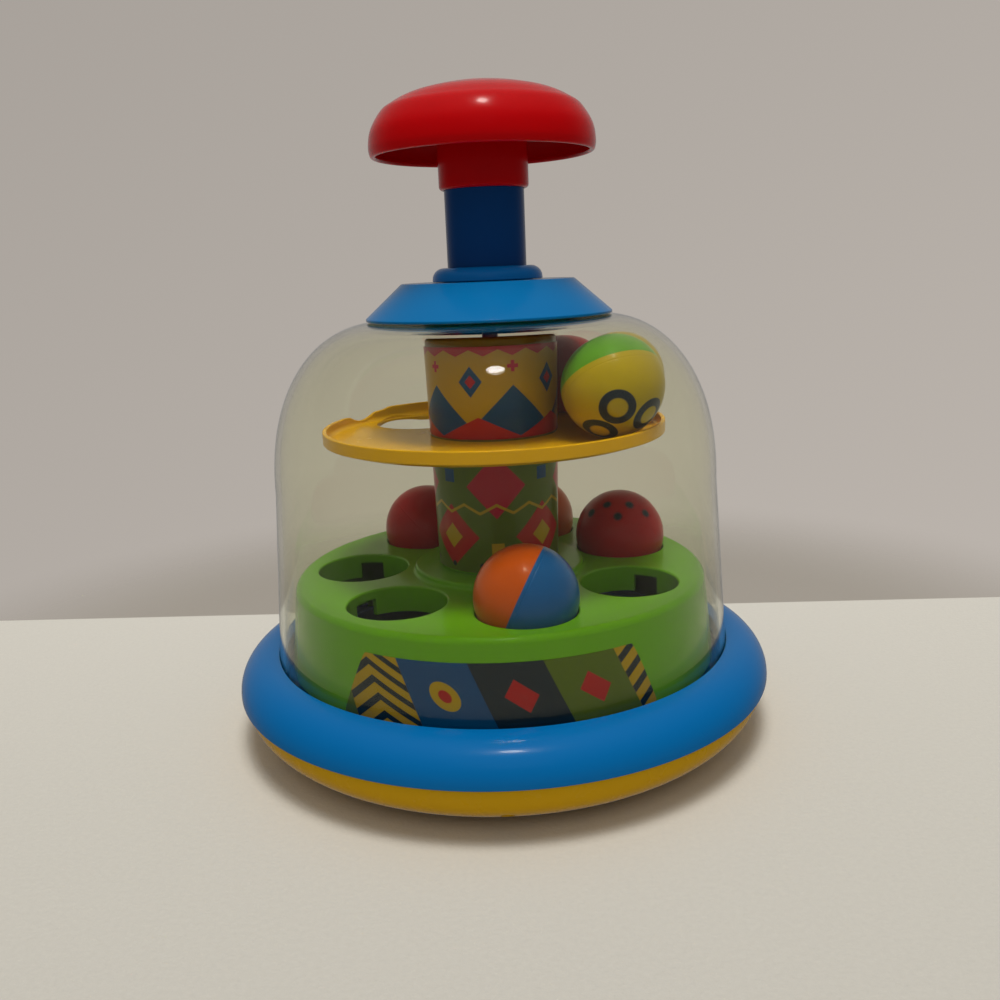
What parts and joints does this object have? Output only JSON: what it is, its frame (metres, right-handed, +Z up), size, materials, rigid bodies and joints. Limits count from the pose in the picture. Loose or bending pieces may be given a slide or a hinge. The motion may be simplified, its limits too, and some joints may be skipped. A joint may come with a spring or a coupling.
{
  "type": "ball drop tower",
  "caption": "Push-and-spin ball tower: pressing the knob turns a carousel of ball wells and a drop tray inside a clear dome on a bowl base.",
  "frame": {"origin": "centre of the flat underside of the bowl, on the surface that the tower stands on", "axes": "+Z up along the axis that the carousel turns about; -Y towards the side that the picture shows, +X to its right"},
  "size_m": [0.2556, 0.2556, 0.2966],
  "materials": {
    "yellow": "gloss",
    "blue": "gloss",
    "navy": "gloss",
    "clear": "clear gloss",
    "white": "satin",
    "steel": "zinc plated",
    "green": "gloss",
    "label": "printed film",
    "red": "gloss",
    "ball_orange": "satin",
    "ball_red": "satin",
    "ball_yellow": "satin"
  },
  "bodies": {
    "stand": {"base_bowl": "yellow", "clamp_ring": "blue", "deck": "navy", "clear_dome": "clear", "cone_cap": "blue", "guide_collar": "navy", "centre_post": "white", "thrust_washer": "steel", "ring_screw_1": "steel", "ring_screw_2": "steel", "ring_screw_3": "steel", "ring_screw_4": "steel", "ring_screw_5": "steel", "ring_screw_6": "steel", "deck_screw_1": "steel", "deck_screw_2": "steel", "deck_screw_3": "steel"},
    "carousel": {"carousel_disc": "green", "hub_bush": "white", "column_lower": "green", "drop_tray": "yellow", "column_upper": "green", "clutch_cup": "white", "clutch_cover": "white", "column_label_lower": "label", "column_label_upper": "label", "skirt_label_1": "label", "skirt_label_2": "label", "column_screw_1": "steel", "column_screw_2": "steel", "column_screw_3": "steel", "tray_screw_1": "steel", "tray_screw_2": "steel", "tray_screw_3": "steel", "clutch_screw_1": "steel", "clutch_screw_2": "steel", "clutch_screw_3": "steel"},
    "plunger": {"push_knob": "red", "plunger_tube": "navy", "spindle_plug": "white", "twisted_spindle": "steel", "spindle_foot": "white", "knob_screw_1": "steel", "return_spring": "steel"},
    "nut": {"drive_nut": "white"},
    "front_ball": {"well_ball_front": "ball_orange"},
    "right_ball": {"well_ball_right": "ball_red"},
    "back_ball": {"well_ball_back": "ball_orange"},
    "left_ball": {"well_ball_left": "ball_red"},
    "waiting_ball_1": {"tray_ball_1": "ball_yellow"},
    "waiting_ball_2": {"tray_ball_2": "ball_orange"},
    "waiting_ball_3": {"tray_ball_3": "ball_red"}
  },
  "joints": [
    {"name": "carousel_spin", "type": "hinge", "parent": "stand", "child": "carousel", "pos_m": [0, 0, 0.08], "axis": [0, 0, 1], "continuous": true},
    {"name": "knob_press", "type": "slide", "parent": "stand", "child": "plunger", "axis": [0, 0, -1], "range_m": [0, 0.032], "stiffness_N_per_m": 250, "springref_m": -0.02, "deforming": ["return_spring"]},
    {"name": "nut_turn", "type": "hinge", "parent": "stand", "child": "nut", "pos_m": [0, 0, 0.104], "axis": [0, 0, 1], "range_deg": [0, 241]},
    {"name": "front_ball_hop", "type": "slide", "parent": "carousel", "child": "front_ball", "axis": [0, 0, 1], "range_m": [0, 0.03]},
    {"name": "right_ball_hop", "type": "slide", "parent": "carousel", "child": "right_ball", "axis": [0, 0, 1], "range_m": [0, 0.03]},
    {"name": "back_ball_hop", "type": "slide", "parent": "carousel", "child": "back_ball", "axis": [0, 0, 1], "range_m": [0, 0.03]},
    {"name": "left_ball_hop", "type": "slide", "parent": "carousel", "child": "left_ball", "axis": [0, 0, 1], "range_m": [0, 0.03]},
    {"name": "waiting_ball_1_roll", "type": "hinge", "parent": "carousel", "child": "waiting_ball_1", "pos_m": [0, 0, 0.1648], "axis": [0, 0, 1], "range_deg": [-170, 54]},
    {"name": "waiting_ball_2_roll", "type": "hinge", "parent": "carousel", "child": "waiting_ball_2", "pos_m": [0, 0, 0.1648], "axis": [0, 0, 1], "range_deg": [-170.1, 54.1]},
    {"name": "waiting_ball_3_roll", "type": "hinge", "parent": "carousel", "child": "waiting_ball_3", "pos_m": [0, 0, 0.1648], "axis": [0, 0, 1], "range_deg": [-170.1, 54.1]}
  ],
  "couplings": [
    {"joint": "nut_turn", "follows": "knob_press", "rad_per_m": 130.9},
    {"joint": "waiting_ball_2_roll", "follows": "waiting_ball_1_roll", "ratio": 1},
    {"joint": "waiting_ball_3_roll", "follows": "waiting_ball_1_roll", "ratio": 1}
  ]
}
